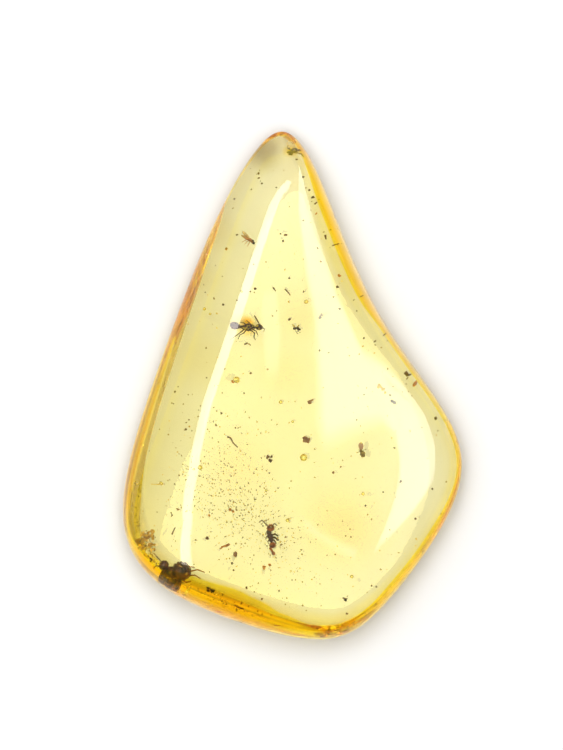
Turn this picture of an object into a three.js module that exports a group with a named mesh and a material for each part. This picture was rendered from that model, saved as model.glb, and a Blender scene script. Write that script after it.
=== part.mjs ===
// Insects in amber: one polished drop of fossil resin, lying on the flat face ground on its underside.
// Millimetres, +Z up. The drop's pointed end is +Y, and its length lies along Y.
// The origin is on the plane of the flat face, under the middle of the drop.
import * as THREE from "three";

// The widest outline, as the control points of a closed B-spline, clockwise from the pointed end.
// Under each point the drop is undercut: `girth` is the height at which it is widest, `flatInset` how far in
// the flat face starts, and `undercut` the slope, rise over run, with which the underside leaves that face.
// `shoulder` is how far in the crown turns down into the side.
const OUTLINE = [
  { x: -0.8, y: 31.5, girth: 2.0, flatInset: 1.5, undercut: 0.4, shoulder: 1.1 },
  { x: 2.8, y: 26.5, girth: 2.4, flatInset: 2.6, undercut: 0.5, shoulder: 1.6 },
  { x: 5.9, y: 17.9, girth: 2.6, flatInset: 4.2, undercut: 0.4, shoulder: 2.0 },
  { x: 10.0, y: 8.3, girth: 2.6, flatInset: 3.4, undercut: 0.25, shoulder: 2.0 },
  { x: 15.9, y: 0.4, girth: 2.6, flatInset: 3.2, undercut: 0.2, shoulder: 2.0 },
  { x: 21.4, y: -8.0, girth: 2.8, flatInset: 3.2, undercut: 0.22, shoulder: 2.0 },
  { x: 18.7, y: -16.0, girth: 3.0, flatInset: 3.2, undercut: 0.28, shoulder: 2.0 },
  { x: 12.7, y: -24.3, girth: 3.2, flatInset: 3.4, undercut: 0.3, shoulder: 2.0 },
  { x: 6.8, y: -30.6, girth: 3.8, flatInset: 4.2, undercut: 0.5, shoulder: 2.0 },
  { x: -0.6, y: -30.0, girth: 4.4, flatInset: 4.6, undercut: 0.6, shoulder: 2.0 },
  { x: -9.4, y: -27.1, girth: 4.6, flatInset: 5.0, undercut: 0.65, shoulder: 2.0 },
  { x: -17.3, y: -23.3, girth: 4.2, flatInset: 4.6, undercut: 0.6, shoulder: 2.0 },
  { x: -20.9, y: -17.0, girth: 3.4, flatInset: 4.4, undercut: 0.5, shoulder: 2.0 },
  { x: -19.4, y: -8.0, girth: 3.2, flatInset: 4.3, undercut: 0.55, shoulder: 2.0 },
  { x: -16.2, y: 1.5, girth: 3.0, flatInset: 4.2, undercut: 0.55, shoulder: 2.0 },
  { x: -12.6, y: 11.5, girth: 2.8, flatInset: 3.9, undercut: 0.5, shoulder: 2.0 },
  { x: -8.8, y: 20.8, girth: 2.4, flatInset: 3.0, undercut: 0.4, shoulder: 2.0 },
  { x: -4.5, y: 28.4, girth: 2.0, flatInset: 1.6, undercut: 0.35, shoulder: 1.5 },
];

// The crown is a shallow arch, level at x, y, with its curvature in 1/mm across and along the drop.
const CROWN = { x: -4.0, y: -12.0, height: 11.2, across: 0.0093, along: 0.0024 };

// Each side of the outline rounds the crown down: by `fall` at the side itself, fading over `reach` inwards.
const SIDES = [
  { x: -13.3, y: 7.2, inward: [0.936, -0.351], fall: 5.2, reach: 2.9 }, // the long left side
  { x: -10.0, y: -26.2, inward: [0.44, 0.898], fall: 2.6, reach: 3.9 }, // lower left
  { x: 13.9, y: -20.5, inward: [-0.81, 0.586], fall: 2.8, reach: 6.0 }, // lower right
  { x: 14.7, y: 0.9, inward: [-0.86, -0.508], fall: 0.5, reach: 5.0 }, // right
  { x: 5.8, y: 17.9, inward: [-0.916, -0.4], fall: 0.8, reach: 3.5 }, // upper right
  { x: -1.0, y: 30.0, inward: [0.1, -0.995], fall: 4.0, reach: 3.0 }, // the pointed end
];

const CORE_CENTRE = new THREE.Vector2(0.5, -6.0); // middle of the crown, from where its rings spread
const CORE_SCALE = 0.45; // size of the crown's inner grid, as a share of the outline
const SLOPE_STEP = 0.05; // how far apart the crown's slope is taken
const GRID_STEPS = 30; // quads along each side of the inner grid
const CROWN_RINGS = 9; // quads from the inner grid out to the shoulder
const SHOULDER_RINGS = 6; // quads from the shoulder down to the widest outline
const UNDERSIDE_RINGS = 5; // quads from the widest outline in to the flat face
const AROUND = 4 * GRID_STEPS; // quads round each ring

const AMBER = new THREE.MeshStandardMaterial({ color: 0xf2c84b, roughness: 0.04, metalness: 0.0 });

// The uniform cubic B-spline's weights on four neighbouring control points, at f between the middle two.
function splineWeights(f) {
  const g = 1 - f;
  return [g ** 3, 3 * f ** 3 - 6 * f ** 2 + 4, 3 * g ** 3 - 6 * g ** 2 + 4, f ** 3].map((w) => w / 6);
}

// The outline at a share s of the way round: its place, and the undercut's measures there.
function outlineAt(s) {
  const t = (((s % 1) + 1) % 1) * OUTLINE.length;
  const whole = Math.floor(t);
  const mixed = { x: 0, y: 0, girth: 0, flatInset: 0, undercut: 0, shoulder: 0 };
  splineWeights(t - whole).forEach((weight, k) => {
    const point = OUTLINE[(whole + k - 1 + OUTLINE.length) % OUTLINE.length];
    for (const key of Object.keys(mixed)) mixed[key] += weight * point[key];
  });
  return mixed;
}

// The same, with the unit vector that points inwards in plan.
function sideAt(s) {
  const step = 1e-4;
  const [before, after] = [outlineAt(s - step), outlineAt(s + step)];
  const along = new THREE.Vector2(after.x - before.x, after.y - before.y).normalize();
  return { ...outlineAt(s), inward: new THREE.Vector2(along.y, -along.x) };
}

// Height of the crown over a point in plan.
function crownHeight(x, y) {
  const arch = (CROWN.across * (x - CROWN.x) ** 2 + CROWN.along * (y - CROWN.y) ** 2) / 2;
  let height = CROWN.height - arch;
  for (const side of SIDES) {
    const inside = (x - side.x) * side.inward[0] + (y - side.y) * side.inward[1];
    height -= side.fall * Math.exp(-inside / side.reach);
  }
  return height;
}

const onCrown = (x, y) => new THREE.Vector3(x, y, crownHeight(x, y));
const insetPoint = (side, inset) => new THREE.Vector2(side.x, side.y).addScaledVector(side.inward, inset);

// A point at share f along the curve from `from` to `to`, each an [inset, height], bent towards `corner`.
function bend(from, corner, to, f) {
  const g = 1 - f;
  return [0, 1].map((k) => g * g * from[k] + 2 * f * g * corner[k] + f * f * to[k]);
}

// The shoulder leaves the crown at the crown's own slope and ends upright at the widest outline.
function shoulderPoint(side, f) {
  const start = insetPoint(side, side.shoulder);
  const deeper = insetPoint(side, side.shoulder + SLOPE_STEP);
  const top = crownHeight(start.x, start.y);
  const slope = (crownHeight(deeper.x, deeper.y) - top) / SLOPE_STEP;
  const corner = [0, top - slope * side.shoulder];
  const [inset, height] = bend([side.shoulder, top], corner, [0, side.girth], f);
  const plan = insetPoint(side, inset);
  return new THREE.Vector3(plan.x, plan.y, height);
}

// The underside starts upright at the widest outline and comes in to the edge of the flat face.
function undersidePoint(side, f) {
  const corner = [0, side.undercut * side.flatInset];
  const [inset, height] = bend([0, side.girth], corner, [side.flatInset, 0], f);
  const plan = insetPoint(side, inset);
  return new THREE.Vector3(plan.x, plan.y, height);
}

// A ring of the crown: the shoulder's line shrunk towards the core's centre.
function crownRingPoint(side, scale) {
  const plan = insetPoint(side, side.shoulder).sub(CORE_CENTRE).multiplyScalar(scale).add(CORE_CENTRE);
  return onCrown(plan.x, plan.y);
}

// The crown's inner grid is stretched between its four edges, which together are the innermost ring.
function gridPoint(edgeRing, i, j) {
  const n = GRID_STEPS;
  const [u, v] = [i / n, j / n];
  const near = edgeRing[i];
  const far = edgeRing[3 * n - i];
  const left = edgeRing[(4 * n - j) % AROUND];
  const right = edgeRing[n + j];
  const corners = [edgeRing[0], edgeRing[n], edgeRing[3 * n], edgeRing[2 * n]];
  const blend = (axis) =>
    (1 - v) * near[axis] + v * far[axis] + (1 - u) * left[axis] + u * right[axis] -
    (1 - u) * (1 - v) * corners[0][axis] - u * (1 - v) * corners[1][axis] -
    (1 - u) * v * corners[2][axis] - u * v * corners[3][axis];
  return onCrown(blend("x"), blend("y"));
}

// All rings from the inner grid's edge out over the shoulder and back under to the flat face.
function makeRings(sides) {
  const rings = [];
  for (let k = 0; k <= CROWN_RINGS; k++) {
    const scale = THREE.MathUtils.lerp(CORE_SCALE, 1, k / CROWN_RINGS);
    rings.push(sides.map((side) => crownRingPoint(side, scale)));
  }
  for (let k = 1; k <= SHOULDER_RINGS; k++)
    rings.push(sides.map((side) => shoulderPoint(side, k / SHOULDER_RINGS)));
  for (let k = 1; k <= UNDERSIDE_RINGS; k++)
    rings.push(sides.map((side) => undersidePoint(side, k / UNDERSIDE_RINGS)));
  return rings;
}

// The whole surface: the inner grid, the rings round it, and the flat face.
function amberGeometry() {
  const sides = Array.from({ length: AROUND }, (_, k) => sideAt(k / AROUND));
  const rings = makeRings(sides);
  const vertices = [];
  const triangle = (a, b, c) => vertices.push(a, b, c);
  const quad = (a, b, c, d) => {
    triangle(a, b, c);
    triangle(a, c, d);
  };

  const n = GRID_STEPS;
  const grid = [];
  for (let i = 0; i <= n; i++) {
    grid.push([]);
    for (let j = 0; j <= n; j++) grid[i].push(gridPoint(rings[0], i, j));
  }
  for (let i = 0; i < n; i++)
    for (let j = 0; j < n; j++) quad(grid[i][j], grid[i][j + 1], grid[i + 1][j + 1], grid[i + 1][j]);

  for (let k = 0; k + 1 < rings.length; k++)
    for (let m = 0; m < AROUND; m++) {
      const next = (m + 1) % AROUND;
      quad(rings[k][m], rings[k][next], rings[k + 1][next], rings[k + 1][m]);
    }

  const rim = rings.at(-1);
  for (const [a, b, c] of THREE.ShapeUtils.triangulateShape(rim.map((p) => new THREE.Vector2(p.x, p.y)), []))
    triangle(rim[a], rim[c], rim[b]);

  return new THREE.BufferGeometry().setFromPoints(vertices);
}

function makeAmber() {
  const geometry = amberGeometry();
  geometry.computeBoundingBox();
  const middle = geometry.boundingBox.getCenter(new THREE.Vector3());
  geometry.translate(-middle.x, -middle.y, 0);
  geometry.computeVertexNormals();
  const mesh = new THREE.Mesh(geometry, AMBER);
  mesh.name = "amber";
  return mesh;
}

const group = new THREE.Group();
group.add(makeAmber());

export default group;
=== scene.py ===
"""Insects in amber: a polished drop of clear golden resin with insects, plant bits and bubbles sealed in it.

Blender 4.5. The drop itself follows the solid in the frame; everything inside it is made here.
Lengths named *_MM are in millimetres in the frame's own axes: +Y to the pointed end, +Z up.
"""

import math
import random

import bmesh
import bpy
from mathutils import Matrix, Vector, bvhtree, kdtree


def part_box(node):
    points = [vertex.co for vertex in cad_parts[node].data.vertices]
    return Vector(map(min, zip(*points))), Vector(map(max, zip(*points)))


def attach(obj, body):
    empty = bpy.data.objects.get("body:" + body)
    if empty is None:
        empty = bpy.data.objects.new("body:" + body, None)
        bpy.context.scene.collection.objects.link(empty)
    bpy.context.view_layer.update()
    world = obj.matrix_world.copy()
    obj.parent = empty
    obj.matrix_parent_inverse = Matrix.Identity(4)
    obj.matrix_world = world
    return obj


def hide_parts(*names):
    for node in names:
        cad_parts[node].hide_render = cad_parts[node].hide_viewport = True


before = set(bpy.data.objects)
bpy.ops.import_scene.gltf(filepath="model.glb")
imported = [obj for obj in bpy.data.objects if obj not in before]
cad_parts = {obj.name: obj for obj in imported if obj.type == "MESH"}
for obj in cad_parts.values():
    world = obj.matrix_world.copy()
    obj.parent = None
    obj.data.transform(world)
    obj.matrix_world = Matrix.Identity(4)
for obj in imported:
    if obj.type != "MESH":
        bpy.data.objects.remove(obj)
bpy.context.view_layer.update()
AMBER_LOW, AMBER_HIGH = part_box("amber")

bl_info = {
    "name": "Insects in amber",
    "version": (1, 0, 0),
    "blender": (4, 5, 0),
    "location": "3D View > Sidebar > Amber",
    "description": "Builds a polished drop of amber with the insects and debris sealed in it",
    "category": "Object",
}

MM = 0.001
MERGE_DISTANCE = 0.002 * MM
FLOOR_GAP = 0.03 * MM
FLAT_LEVEL = 0.01 * MM  # what lies lower than this belongs to the flat face
FACING_DOWN = -0.9999  # a face whose normal's Z is below this looks straight down
FLAT_EDGE_WIDTH = 0.12 * MM  # width of the band that rounds the edge of the flat face
CLEAR = (1.0, 1.0, 1.0)  # a tint that changes nothing
NOTHING = (0.0, 0.0, 0.0)


def colour_property(name, description, default, brightest=1.0):
    return bpy.props.FloatVectorProperty(
        name=name, description=description, subtype="COLOR", size=3, min=0.0, max=brightest, default=default
    )


class AmberSettings(bpy.types.PropertyGroup):
    """The resin itself."""

    absorption: colour_property(
        "Tint", "Colour left after light has crossed one absorption length", (0.990, 0.920, 0.283)
    )
    # Painted rim light: the golden, orange and olive rim colours and the undercut tint stand in for the deep
    # gold that light takes running round inside the rim.
    rim: colour_property("Rim", "Golden rim seen through the sides", (1.0, 0.92, 0.02))
    orange: colour_property("Orange rim", "Rim on the thin side and at the point", (1.0, 0.46, 0.0))
    # Painted gold on the very outline, where light runs longest inside the rim.
    rind: colour_property("Rind", "Thin older skin on the widest outline", (1.0, 0.88, 0.0))
    glint: colour_property("Rim reflections", "Tint of what the rim reflects", (1.0, 0.72, 0.10))
    olive: colour_property("Olive edge", "Inner edge of the rim where it is olive", (0.50, 0.42, 0.0))
    # Painted shade just inside the rim.
    shade: colour_property("Shade", "Deeper tone just inside the rim", (0.82, 0.70, 0.18))
    under: colour_property("Undercut", "Sides under the widest outline", (1.0, 0.90, 0.35))
    density: bpy.props.FloatProperty(
        name="Tint density",
        description="How strongly a metre of resin takes that tint",
        default=60.0,
        min=0.0,
    )
    refraction: bpy.props.FloatProperty(
        name="Refractive index",
        description="Refractive index of the resin",
        default=1.54,
        min=1.0,
        max=2.0,
    )
    polish: bpy.props.FloatProperty(
        name="Surface roughness",
        description="Roughness left by the polish",
        default=0.0,
        min=0.0,
        max=1.0,
        subtype="FACTOR",
    )


class StudioSettings(bpy.types.PropertyGroup):
    """The table, the light and the camera."""

    ambient: bpy.props.FloatProperty(
        name="Ambient light",
        description="Brightness of the white surroundings overhead",
        default=0.62,
        min=0.0,
    )
    horizon: colour_property(
        "Horizon", "Warm light of the surroundings at table height", (1.45, 1.32, 0.24), brightest=4.0
    )
    shadow: colour_property(
        "Contact shadow", "Colour of the table where the drop rests on it", (0.71, 0.685, 0.71)
    )
    overhead: bpy.props.FloatProperty(
        name="Overhead light", description="Brightness of the round light overhead", default=5.35, min=0.0
    )
    panel: bpy.props.FloatProperty(
        name="Panel light", description="Brightness of the light panels", default=9.0, min=0.0
    )
    lens: bpy.props.FloatProperty(
        name="Lens", description="Focal length of the camera", default=200.0, min=10.0, unit="CAMERA"
    )


# ---------------------------------------------------------------- shared helpers


def settings(name):
    return getattr(bpy.context.scene, name)


def new_material(name, kind="ShaderNodeBsdfPrincipled"):
    """A material with only one shader in its node tree, the tree and the shader."""
    material = bpy.data.materials.new(name)
    material.use_nodes = True
    tree = material.node_tree
    tree.nodes.clear()
    output = tree.nodes.new("ShaderNodeOutputMaterial")
    shader = tree.nodes.new(kind)
    tree.links.new(shader.outputs[0], output.inputs["Surface"])
    return material, tree, shader


def mesh_object(name, bm, material):
    """Turns a bmesh into an object at the origin."""
    mesh = bpy.data.meshes.new(name)
    bm.to_mesh(mesh)
    bm.free()
    mesh.materials.append(material)
    made = bpy.data.objects.new(name, mesh)
    bpy.context.scene.collection.objects.link(made)
    return made


def add_piece(name, bm, material, smooth=True):
    """Turns a bmesh into a piece that rides with the drop."""
    piece = mesh_object(name, bm, material)
    if smooth:
        piece.data.shade_smooth()
    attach(piece, "root")
    return piece


def solid_mesh():
    """The solid's surface, with the corners of its triangles joined."""
    bm = bmesh.new()
    bm.from_mesh(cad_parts["amber"].data)
    bmesh.ops.remove_doubles(bm, verts=bm.verts, dist=MERGE_DISTANCE)
    return bm


# ---------------------------------------------------------------- the resin


# Round the widest outline: bearing from RIM_CENTRE_MM in degrees, width of the painted golden rim in mm, how
# olive its inner edge is, how deep and how far in mm the painted shade inside it reaches, and how orange the
# rim is.
RIM_CENTRE_MM = (0.0, -6.0)
RIM_STATIONS = [
    (92, 0.45, 0.0, 0.6, 2.4, 1.0),
    (107, 0.30, 0.1, 0.9, 3.4, 0.2),
    (118, 0.60, 0.1, 0.8, 5.0, 0.0),
    (135, 0.80, 0.1, 0.8, 6.5, 0.0),
    (160, 1.00, 0.8, 0.8, 6.5, 0.0),
    (190, 1.00, 1.0, 1.0, 6.5, 0.0),
    (206, 1.15, 0.6, 1.0, 6.5, 0.0),
    (222, 1.60, 0.0, 0.8, 5.0, 0.1),
    (236, 3.30, 0.0, 0.4, 4.2, 0.6),
    (250, 3.90, 0.0, 0.4, 4.4, 0.9),
    (258, 3.50, 0.0, 0.4, 4.2, 0.8),
    (266, 2.70, 0.0, 0.4, 4.0, 0.4),
    (275, 1.90, 0.0, 0.4, 3.2, 0.1),
    (300, 1.40, 0.0, 0.5, 2.8, 0.7),
    (323, 1.20, 0.0, 0.6, 3.2, 0.7),
    (350, 0.70, 0.0, 0.5, 3.2, 0.4),
    (405, 0.95, 0.0, 0.6, 2.6, 0.9),
    (427, 1.60, 0.0, 0.4, 2.4, 1.0),
    (440, 1.60, 0.0, 0.4, 2.0, 1.0),
]
RIM_SAMPLES = 8  # points along each edge of the outline that the distances are taken to
RIM_CLEAR = 3.0  # share of the rim's width past which nothing of the rim is left
SHADE_FALL = 1.5  # how quickly the shade inside the rim fades, as a power


def rim_station(bearing):
    """The rim's measures at a bearing in degrees, eased between the stations on either side."""
    first = RIM_STATIONS[0]
    stations = [*RIM_STATIONS, (first[0] + 360, *first[1:])]
    bearing = (bearing - first[0]) % 360 + first[0]
    before, after = next(pair for pair in zip(stations, stations[1:]) if bearing <= pair[1][0])
    share = (bearing - before[0]) / (after[0] - before[0])
    ease = share * share * (3 - 2 * share)
    return [x + ease * (y - x) for x, y in zip(before[1:], after[1:])]


def mark_rim(bm):
    """Stores on each vertex how far in from the widest outline it lies, for the resin's colours.

    `rim` holds the depth as a share of the painted golden rim's width, the depth in mm, and 1 on the
    underside;
    `tone` holds how olive the rim is there, how much painted shade lies on the resin, and how deep an orange
    the rim is.
    """
    rim = bm.verts.layers.float_vector.new("rim")
    tone = bm.verts.layers.float_vector.new("tone")
    outline = [
        e for e in bm.edges
        if (e.link_faces[0].normal.z > 0) != (e.link_faces[1].normal.z > 0) and e.verts[0].co.z > FLAT_LEVEL
    ]
    tree = kdtree.KDTree(len(outline) * RIM_SAMPLES)
    for edge in outline:
        start, end = (v.co for v in edge.verts)
        for k in range(RIM_SAMPLES):
            tree.insert(start.lerp(end, (k + 0.5) / RIM_SAMPLES) * Vector((1, 1, 0)), k)
    tree.balance()
    on_outline = {v for e in outline for v in e.verts}
    for vertex in bm.verts:
        place = vertex.co * Vector((1, 1, 0))
        nearest, _, depth = tree.find(place)
        depth = 0.0 if vertex in on_outline else depth / MM
        x, y = nearest.x / MM - RIM_CENTRE_MM[0], nearest.y / MM - RIM_CENTRE_MM[1]
        width, olive, shade, reach, warm = rim_station(math.degrees(math.atan2(y, x)))
        flat = vertex.co.z < FLAT_LEVEL
        under = flat or (vertex.normal.z < 0 and vertex not in on_outline)
        share = RIM_CLEAR if under else min(depth / width, RIM_CLEAR)
        vertex[rim] = (share, depth, 1.0 if under and not flat else 0.0)
        # The painted shade fades inward from the rim.
        fade = max(0.0, 1.0 - depth / reach) if not under else 0.0
        vertex[tone] = (olive, shade * fade ** SHADE_FALL, warm)


# Soft patches of painted shade in the resin, darker where less light comes through the drop: place in plan
# and radius, all in mm, and colour.
SHADE_PATCHES = [
    ((-3.3, 27.0), 2.8, (0.62, 0.56, 0.40)),
    ((-8.6, 18.0), 3.4, (0.93, 0.87, 0.68)),
    ((-10.6, 12.6), 3.4, (0.93, 0.87, 0.68)),
    ((5.5, -16.5), 7.0, (0.98, 0.93, 0.80)),
    ((0.6, 8.0), 4.5, (0.97, 0.95, 0.89)),
    ((-0.8, 1.5), 4.5, (0.98, 0.96, 0.90)),
    ((-9.6, 2.5), 5.0, (0.97, 0.95, 0.86)),
    ((-6.5, -9.5), 6.0, (0.99, 0.96, 0.90)),
]


def named_vector(tree, name):
    attribute = tree.nodes.new("ShaderNodeAttribute")
    attribute.attribute_name = name
    split = tree.nodes.new("ShaderNodeSeparateXYZ")
    tree.links.new(attribute.outputs["Vector"], split.inputs["Vector"])
    return split.outputs


def colour_ramp(tree, value, stops):
    """A colour ramp from (position, colour) stops."""
    ramp = tree.nodes.new("ShaderNodeValToRGB")
    elements = ramp.color_ramp.elements
    for element, (position, colour) in zip(elements, (stops[0], stops[-1])):
        element.position = position
        element.color = (*colour, 1.0)
    for position, colour in stops[1:-1]:
        elements.new(position).color = (*colour, 1.0)
    tree.links.new(value, ramp.inputs["Fac"])
    return ramp.outputs["Color"]


def feed(tree, socket, value):
    """Gives a socket its value: another socket, a plain colour or a number."""
    if isinstance(value, bpy.types.NodeSocket):
        tree.links.new(value, socket)
    else:
        socket.default_value = value


def mix_colour(tree, factor, first, second, blend="MIX"):
    """Mixes two colours, each a socket or a plain colour, by a socket or a number."""
    mix = tree.nodes.new("ShaderNodeMix")
    mix.data_type = "RGBA"
    mix.blend_type = blend
    sockets = {"Factor_Float": factor, "A_Color": first, "B_Color": second}
    for socket in mix.inputs:
        value = sockets.get(socket.identifier)
        if value is not None:
            feed(tree, socket, (*value, 1.0) if isinstance(value, tuple) else value)
    return next(s for s in mix.outputs if s.identifier == "Result_Color")


def operation_node(tree, kind, operation, first, second):
    node = tree.nodes.new(kind)
    node.operation = operation
    feed(tree, node.inputs[0], first)
    feed(tree, node.inputs[1], second)
    return node.outputs


def math_node(tree, operation, first, second):
    return operation_node(tree, "ShaderNodeMath", operation, first, second)["Value"]


def vector_node(tree, operation, first, second):
    outputs = operation_node(tree, "ShaderNodeVectorMath", operation, first, second)
    return outputs["Value" if operation == "DISTANCE" else "Vector"]


def flow_streaks(tree, place, depth):
    """Silky streaks that run along the rim: slow in plan, quick with depth."""
    slow = vector_node(tree, "MULTIPLY", place, (150.0, 150.0, 0.0))
    quick = tree.nodes.new("ShaderNodeCombineXYZ")
    tree.links.new(math_node(tree, "MULTIPLY", depth, 2.2), quick.inputs["Z"])
    noise = tree.nodes.new("ShaderNodeTexNoise")
    noise.inputs["Scale"].default_value = 1.0
    noise.inputs["Detail"].default_value = 3.0
    tree.links.new(vector_node(tree, "ADD", slow, quick.outputs["Vector"]), noise.inputs["Vector"])
    return noise.outputs["Fac"]


def round_patch(tree, place, x, y, radius):
    """A soft round patch in plan: 1 in its middle and 0 from its radius on."""
    in_plan = vector_node(tree, "MULTIPLY", place, (1.0, 1.0, 0.0))
    patch = tree.nodes.new("ShaderNodeMapRange")
    patch.interpolation_type = "SMOOTHSTEP"
    patch.inputs["From Max"].default_value = radius
    patch.inputs["To Min"].default_value = 1.0
    patch.inputs["To Max"].default_value = 0.0
    tree.links.new(vector_node(tree, "DISTANCE", in_plan, (x, y, 0.0)), patch.inputs["Value"])
    return patch.outputs["Result"]


def resin_tint(tree, resin):
    """The skin's colour: a painted golden rim, olive on its inner edge, and soft patches of painted shade in
    the clear middle.
    """
    share, depth, under = named_vector(tree, "rim")[:3]
    olive, shade, warm = named_vector(tree, "tone")[:3]
    place = tree.nodes.new("ShaderNodeTexCoord").outputs["Object"]
    gold, rind, inner = tuple(resin.rim), tuple(resin.rind), tuple(resin.olive)

    def across_rim(*stops):
        """A colour ramp over the rim, its stops placed by shares of the rim's width."""
        placed = [(width / RIM_CLEAR, colour) for width, colour in stops]
        return colour_ramp(tree, math_node(tree, "DIVIDE", share, RIM_CLEAR), placed)

    # The painted golden rim, standing in for light running round inside the rim.
    golden = across_rim((0.0, rind), (0.55, gold), (0.96, gold), (1.04, CLEAR), (RIM_CLEAR, CLEAR))
    olive_side = across_rim(
        (0.0, rind),
        (0.12, gold),
        (0.5, gold),
        (0.72, inner),
        (0.97, inner),
        (1.03, CLEAR),
        (RIM_CLEAR, CLEAR),
    )
    colour = mix_colour(tree, olive, golden, olive_side)
    fading = across_rim((0.0, CLEAR), (0.75, CLEAR), (1.10, NOTHING), (RIM_CLEAR, NOTHING))
    colour = mix_colour(tree, math_node(tree, "MULTIPLY", warm, fading), colour, tuple(resin.orange))
    streaks = flow_streaks(tree, place, depth)
    streaky = colour_ramp(tree, streaks, [(0.30, (0.94, 0.88, 0.60)), (0.52, CLEAR), (0.80, CLEAR)])
    in_rim = math_node(tree, "LESS_THAN", share, 1.0)
    colour = mix_colour(tree, in_rim, colour, mix_colour(tree, 1.0, colour, streaky, "MULTIPLY"))
    # Painted shade just inside the rim.
    colour = mix_colour(tree, shade, colour, mix_colour(tree, 1.0, colour, tuple(resin.shade), "MULTIPLY"))
    colour = mix_colour(tree, under, colour, tuple(resin.under))
    # Soft patches of painted shade in the clear middle.
    for (x, y), radius, tint in SHADE_PATCHES:
        shade_patch = mix_colour(tree, round_patch(tree, place, x * MM, y * MM, radius * MM), CLEAR, tint)
        colour = mix_colour(tree, 1.0, colour, shade_patch, "MULTIPLY")
    return colour


def amber_material(resin):
    material, tree, shader = new_material("golden_amber")
    tree.links.new(resin_tint(tree, resin), shader.inputs["Base Color"])
    share = math_node(tree, "DIVIDE", named_vector(tree, "rim")[0], RIM_CLEAR)
    glint = tuple(resin.glint)
    tree.links.new(
        colour_ramp(tree, share, [(0.0, glint), (0.25, glint), (0.55, CLEAR)]), shader.inputs["Specular Tint"]
    )
    shader.inputs["Roughness"].default_value = resin.polish
    shader.inputs["IOR"].default_value = resin.refraction
    shader.inputs["Transmission Weight"].default_value = 1.0
    volume = tree.nodes.new("ShaderNodeVolumeAbsorption")
    volume.inputs["Color"].default_value = (*resin.absorption, 1.0)
    volume.inputs["Density"].default_value = resin.density
    tree.links.new(volume.outputs["Volume"], tree.get_output_node("ALL").inputs["Volume"])
    return material


def drop_mesh():
    """The solid's surface as quads, with the flat face held flat while the rest is smoothed."""
    bm = solid_mesh()
    flat = [f for f in bm.faces if f.normal.z < FACING_DOWN and f.calc_center_median().z < FLAT_LEVEL]
    curved = [f for f in bm.faces if f not in flat]
    bmesh.ops.join_triangles(
        bm,
        faces=curved,
        angle_face_threshold=math.radians(60),
        angle_shape_threshold=math.radians(120),
    )
    flat = bmesh.ops.dissolve_faces(bm, faces=flat, use_verts=False)["region"]
    bmesh.ops.inset_region(bm, faces=flat, thickness=FLAT_EDGE_WIDTH, use_even_offset=True)
    held = bmesh.ops.triangulate(bm, faces=flat)["faces"]
    crease = bm.edges.layers.float.new("crease_edge")
    for edge in {e for f in held for e in f.edges}:
        edge[crease] = 1.0
    bm.normal_update()
    mark_rim(bm)
    return bm


# Bubbles: place in plan, height and radius, all in mm.
BUBBLES = [
    (-6.6, 0.6, 6.2, 0.42),
    (1.3, -8.5, 6.6, 0.47),
    (1.6, 9.8, 5.8, 0.28),
    (-15.5, -11.6, 4.8, 0.24),
    (-10.9, -9.7, 5.8, 0.31),
    (-11.6, -9.9, 5.6, 0.18),
    (-1.4, -2.0, 6.0, 0.23),
    (0.0, -4.3, 6.0, 0.17),
    (8.3, -12.8, 5.4, 0.22),
    (7.0, -22.6, 4.4, 0.22),
    (-0.6, -15.9, 6.4, 0.23),
    (-10.4, 9.0, 5.2, 0.21),
    (-9.7, 8.4, 5.2, 0.16),
    (-12.5, -24.7, 3.6, 0.26),
    (-6.0, 11.0, 5.4, 0.16),
    (-3.1, -12.4, 6.2, 0.17),
]
BUBBLE_SKIN = 1.0  # the bubbles' skin takes the painted rim colour of this share of the rim's width, a pale painted gold ring


def add_bubbles(bm):
    """Hollows the bubbles out of the resin: small round cavities whose faces look into the air in them."""
    rim = bm.verts.layers.float_vector["rim"]
    for x, y, z, radius in BUBBLES:
        matrix = Matrix.Translation(sunk(x, y, z) * MM)
        made = bmesh.ops.create_icosphere(bm, subdivisions=2, radius=radius * MM, matrix=matrix)["verts"]
        bmesh.ops.reverse_faces(bm, faces=list({f for v in made for f in v.link_faces}))
        for vertex in made:
            vertex[rim] = (BUBBLE_SKIN, 0.0, 0.0)


def crown_tree():
    """The solid's surface, for finding how high the crown stands over a place."""
    bm = bmesh.new()
    bm.from_mesh(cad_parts["amber"].data)
    tree = bvhtree.BVHTree.FromBMesh(bm)
    bm.free()
    return tree


CROWN = crown_tree()
CROWN_STEP_MM = 0.6  # how far apart the crown's slopes are taken


def crown_height(x, y):
    """Height in mm of the crown over a place in mm."""
    hit = CROWN.ray_cast(Vector((x * MM, y * MM, 2 * AMBER_HIGH.z)), Vector((0, 0, -1)))[0]
    return hit.z / MM if hit else 0.0


def sunk(x, y, z):
    """Where a thing at height z must lie to be seen from straight above at x, y: the crown bends the view.

    All in mm.
    """
    top = crown_height(x, y)
    step = CROWN_STEP_MM
    slope_x = (crown_height(x + step, y) - crown_height(x - step, y)) / (2 * step)
    slope_y = (crown_height(x, y + step) - crown_height(x, y - step)) / (2 * step)
    normal = Vector((-slope_x, -slope_y, 1.0)).normalized()
    ratio = 1.0 / settings("amber_resin").refraction
    bent = math.sqrt(1.0 - ratio ** 2 * (1.0 - normal.z ** 2))
    direction = Vector((0, 0, -ratio)) + (ratio * normal.z - bent) * normal
    return Vector((x, y, top)) + direction * ((top - z) / -direction.z)


class AMBER_OT_drop(bpy.types.Operator):
    """Make the polished drop of resin from the solid in the frame"""

    bl_idname = "amber.drop"
    bl_label = "Resin drop"

    def execute(self, context):
        bm = drop_mesh()
        add_bubbles(bm)
        drop = add_piece("amber_drop", bm, amber_material(settings("amber_resin")))
        smoother = drop.modifiers.new("smooth", "SUBSURF")
        smoother.levels = 2
        smoother.render_levels = 2
        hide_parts("amber")
        return {"FINISHED"}


# ---------------------------------------------------------------- shapes for small things, all in mm

WING_HALF_THICKNESS = 0.02
CRUMB_ROUGHNESS = 0.22  # how far a crumb's corners are pushed about, as a share of its size


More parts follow.
